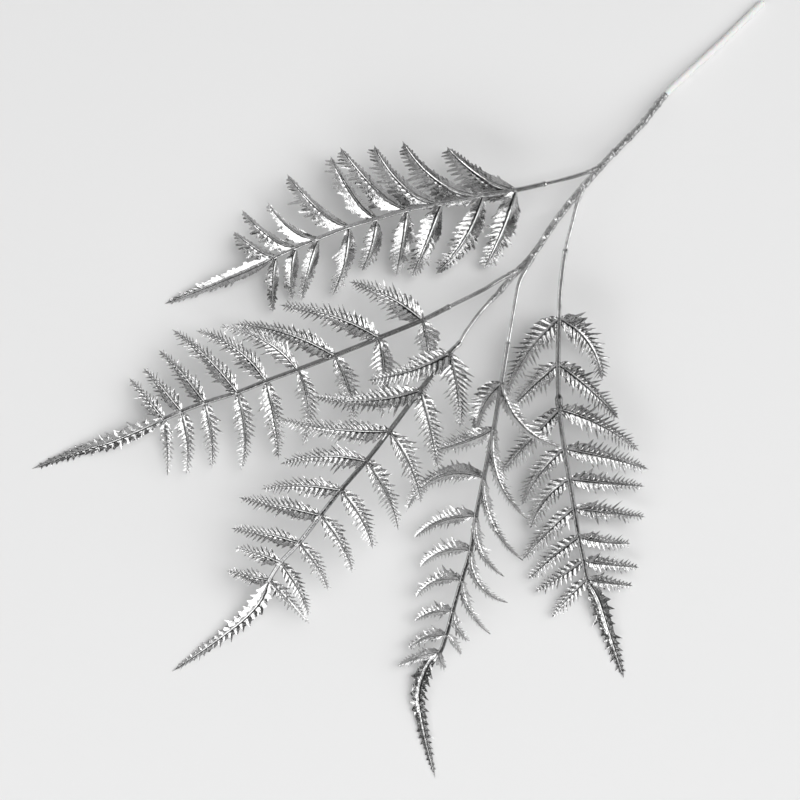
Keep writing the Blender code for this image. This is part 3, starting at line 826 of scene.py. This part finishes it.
# %% Wires
STUB_LENGTH, STUB_RADIUS, WIRE_RADIUS = 15, 2.1, 1.7
WIRE_SEED = 40


def branch_way(plan):
    """The route from the stem's middle to the sleeve's mouth, as a fine polyline."""
    way = smooth(plan["branch"] + plan["stalk"] + plan["pairs"] + plan["end"], FINE)
    mouth = lengths_along(way)[FINE * len(plan["branch"])] - SLEEVE_LEAD
    return at_lengths(way, np.linspace(0, mouth, 160))


def branch_wire(number, plan):
    """One wire between its taped root and its sleeve. Its radius has three slow waves of 1% each."""
    way = branch_way(plan)
    full = lengths_along(way)[-1]
    stops = np.linspace(STUB_LENGTH - 2, full + 1.2, max(24, round(full)))
    rng = np.random.default_rng(WIRE_SEED + number)
    bend = np.sin(stops[:, None] / rng.uniform(4, 9, 3) + rng.uniform(0, 6, 3)).sum(axis=1)
    shell = Shell(f"coated_wire_{number}")
    past = way[-1] + (way[-1] - way[-2]) * 4
    path = at_lengths(np.vstack((way, past)), stops)
    shell.add(*tube_rings(path, WIRE_RADIUS * (1 + 0.01 * bend), 20))
    shell.finish(WIRE, 60, f"branch_wire_{number}")


for number, plan in enumerate(FRONDS, 1):
    branch_wire(number, plan)

# %% [markdown]
# ## The wrapping
#
# Silver tape is wound round the bundle of wires from the tail down to the last branch. Each turn laps the
# one before, which leaves a low step that climbs round the stem, and the knots are where the tape was
# doubled. Where only a few wires are left under it, they show through as long lobes.

# %% Tape round the stem and round each branch's root
TAIL_POINTS, TAIL_PAST, TAIL_RADIUS = 2, 3, 2.7
WRAP_RADII = (2.8, 2.7, 2.6, 2.5, 2.3, 2.2, 2.0)  # from the tail to the last branch
KNOT_HEIGHT, KNOT_WIDTH, KNOT_SPACING, FIRST_KNOT = 0.56, 3.5, 17.5, 0.6
TAPE_PITCH, TAPE_STEP, TAPE_EDGE = 5.5, 0.3, 0.12  # mm, mm, and the share of a turn that its edge takes
DENT_DEPTH, DENT_COUNT = 0.05, 5
LOBE_DEPTH = 0.22  # a share of the radius
LOBES_FROM, LOBES_FADE = 0.25, 0.3  # shares of the way from the tail
STEM_STEP, STUB_STEP, STUB_THINNING = 0.55, 0.5, 0.5  # mm
SIDES = 32
WRAP_SEED = 7


def taped(path, radius, rng, lobes=0.0):
    """Rings of tape. lobes is the two long lobes' depth as a share of the radius.

    Each turn rises evenly by TAPE_STEP and drops at its edge. The dents are sines that run round the path
    at different pitches.
    """
    stops = lengths_along(path)[:, None]
    turn = np.linspace(0, 2 * np.pi, SIDES, endpoint=False)[None]
    lap = (stops / TAPE_PITCH + turn / (2 * np.pi)) % 1
    step = TAPE_STEP * (lap - 0.5) * np.clip((1 - lap) / TAPE_EDGE, 0, 1)
    dents = sum(
        DENT_DEPTH * np.sin(stops / rng.uniform(0.8, 3) + k * turn + rng.uniform(0, 6))
        for k in range(1, DENT_COUNT + 1)
    )
    bundle = radius[:, None] * lobes * np.cos(2 * turn + 0.6 * np.sin(stops / 30))
    return tube_rings(path, radius[:, None] + step + dents + bundle, SIDES)


def wrapping():
    """The wrapped stem with its knots, and the taped roots of the branches."""
    rng = np.random.default_rng(WRAP_SEED)
    line = smooth(STEM, FINE)
    along = lengths_along(line)
    start = along[FINE * TAIL_POINTS] + TAIL_PAST
    stops = np.arange(start, along[-1], STEM_STEP)
    share = (stops - start) / (along[-1] - start)
    radius = np.interp(share, np.linspace(0, 1, len(WRAP_RADII)), WRAP_RADII)
    knots = start + KNOT_SPACING * (np.arange(int((along[-1] - start) / KNOT_SPACING)) + FIRST_KNOT)
    bulge = np.exp(-(((stops[:, None] - knots[None]) / (KNOT_WIDTH / 2)) ** 4)).sum(axis=1)
    lobes = LOBE_DEPTH * np.clip((share - LOBES_FROM) / LOBES_FADE, 0, 1) * (1 - bulge)
    shell = Shell("tape_wrap")
    shell.add(*taped(at_lengths(line, stops), radius + KNOT_HEIGHT * bulge, rng, lobes[:, None]))
    for plan in FRONDS:
        way = branch_way(plan)
        reach = np.arange(0, STUB_LENGTH, STUB_STEP)
        thinned = STUB_RADIUS - STUB_THINNING * (reach / STUB_LENGTH) ** 3
        shell.add(*taped(at_lengths(way, reach), thinned, rng))
    shell.finish(TAPE, 50, "stem_wrap")


wrapping()

# %% [markdown]
# ## The tail
#
# Between the cut and the wrapping the stem is a pale plastic tube over the steel wire, cut off square. The
# tube is a closed loop of rings, out along its outside and back along its bore, so the core shows in its end.

# %% The pale sleeve and the core
BORE_RADIUS = 1.2
TAIL_GAP = 0.3  # mm between the tail and the tape
TAIL_STEP = 1.2
RIM = ((0, 0.3), (0.12, 0.1), (0.3, 0))  # mm from the cut end, and mm that the rim is worn back there
EVEN_WAVE, FAR_WAVE = (0.05, 7), (0.07, 2.9)  # mm high, and mm along for each radian


def tail():
    """The tube, with a worn rim at the cut end and two slow waves, of which one fades in away from it."""
    line = smooth(STEM, FINE)
    end = lengths_along(line)[FINE * TAIL_POINTS] + TAIL_PAST - TAIL_GAP
    rim_places, worn = np.transpose(RIM)
    stops = np.concatenate((rim_places, np.arange(TAIL_STEP, end, TAIL_STEP), (end,)))
    radius = TAIL_RADIUS + EVEN_WAVE[0] * np.sin(stops / EVEN_WAVE[1])
    radius += FAR_WAVE[0] * np.sin(stops / FAR_WAVE[1]) * (stops / end) ** 3
    radius[: len(RIM)] = TAIL_RADIUS - worn
    path = at_lengths(line, stops)
    outer, uv = tube_rings(path, radius, SIDES)
    inner, _ = tube_rings(path, BORE_RADIUS, SIDES)
    shell = Shell("tail_tube")
    shell.add(np.concatenate((outer, inner[::-1])), np.concatenate((uv, uv[::-1])), loop=True)
    shell.finish(PLASTIC, 50, "stem_tail")


tail()
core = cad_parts["stem_core"]
core.data.materials.clear()
core.data.materials.append(STEEL)

# %% [markdown]
# ## Table, light and camera
#
# The table is plain and pale. A leaf with a metal coating shows the room more than its own colour, so the
# lights matter as shapes. The camera is straight above, and a mirror tilted by 30 degrees shows it what
# stands 30 degrees above the table. So low soft lights all round turn the slopes of the teeth white, dim
# ones higher up keep the flatter faces grey, and the dark room between them draws the black folds. A broad
# sun gives the table its brightness and soft shadows, and is hidden from the metal.

# %% The stage
TABLE_HALF = 4  # metres
# each light's name, azimuth and height in degrees, distance, size, radiance, and whether it lights the table
LIGHTS = (
    ("ceiling", 0, 90, 3.6, (2.4, 2.4), 0.27, True),
    ("lamp", 300, 80, 3.4, (0.6, 0.6), 1.1, True),
    ("upper right", 350, 46, 3.6, (6.4, 1.8), 0.25, True),
    ("window", 246, 31, 3.6, (5.6, 2.0), 1.9, True),
    ("right", 2, 28, 3.6, (2.6, 1.8), 1.9, True),
    ("left", 185, 28, 3.6, (3.2, 1.8), 2.0, False),
    ("far side", 105, 32, 3.6, (5.0, 2.2), 0.42, True),
    ("upper left", 155, 58, 3.6, (2.6, 1.5), 0.4, False),
)
SUN_WIDTH, SUN_STRENGTH, SUN_TILT = 50, 1.74, (-12, 28)
ROOM_GREY = 0.03


def material_of_table():
    """A matt pale surface."""
    made, _, shader, _ = new_material("pale_table")
    shader.inputs["Base Color"].default_value = grey(0.8)
    shader.inputs["Roughness"].default_value = 0.9
    shader.inputs["Specular IOR Level"].default_value = 0.2
    return made


def table():
    """A square of 8 m under the spray."""
    mesh = bpy.data.meshes.new("table")
    corners = [(TABLE_HALF * x, TABLE_HALF * y, 0) for x, y in ((-1, -1), (1, -1), (1, 1), (-1, 1))]
    mesh.from_pydata(corners, [], [(0, 1, 2, 3)])
    mesh.materials.append(material_of_table())
    made = bpy.data.objects.new("table", mesh)
    bpy.context.scene.collection.objects.link(made)


def soft_light(name, azimuth, height, distance, size, radiance, lights_table):
    """A flat light aimed at the spray. Its azimuth goes anticlockwise from the view's right.

    A mirror that faces it shows it as bright as its radiance, which is its power / (4 * area).
    """
    lamp = bpy.data.lights.new(name, "AREA")
    lamp.shape = "RECTANGLE"
    lamp.size, lamp.size_y = size
    lamp.energy = 4 * size[0] * size[1] * radiance
    made = bpy.data.objects.new(name, lamp)
    turn = math.radians(azimuth) + PLAN_TURN
    lift = math.radians(height)
    made.location = (distance * math.cos(lift) * math.cos(turn), distance * math.cos(lift) * math.sin(turn),
                     distance * math.sin(lift))
    made.rotation_euler = (math.pi / 2 - lift, 0, turn + math.pi / 2)
    made.visible_diffuse = lights_table
    bpy.context.scene.collection.objects.link(made)


def broad_sun():
    """The sun that lights the table, from the right of the view and 60 degrees up."""
    fill = bpy.data.objects.new("fill", bpy.data.lights.new("fill", "SUN"))
    fill.data.angle = math.radians(SUN_WIDTH)
    fill.data.energy = SUN_STRENGTH
    fill.rotation_euler = (math.radians(SUN_TILT[0]), math.radians(SUN_TILT[1]), PLAN_TURN)
    fill.visible_glossy = False
    bpy.context.scene.collection.objects.link(fill)


table()
for light in LIGHTS:
    soft_light(*light)
broad_sun()
world = bpy.data.worlds.new("room")
world.use_nodes = True
world.node_tree.nodes["Background"].inputs["Color"].default_value = grey(ROOM_GREY)
bpy.context.scene.world = world
bpy.context.scene.view_settings.view_transform = "Standard"
print(len(LIGHTS), "soft lights and a broad sun")

# %% The camera, straight above
CAMERA_HEIGHT, SENSOR, LENS = 2.4, 36, 135  # metres, mm and mm
camera = bpy.data.objects.new("camera", bpy.data.cameras.new("camera"))
camera.data.sensor_width = SENSOR
camera.data.lens = LENS
camera.location = (-PLAN_MIDDLE[0] * MM, -PLAN_MIDDLE[1] * MM, CAMERA_HEIGHT)
camera.rotation_euler = (0, 0, PLAN_TURN)
bpy.context.scene.collection.objects.link(camera)
bpy.context.scene.camera = camera
print("the view is", round(CAMERA_HEIGHT * SENSOR / LENS, 3), "m wide at the table")
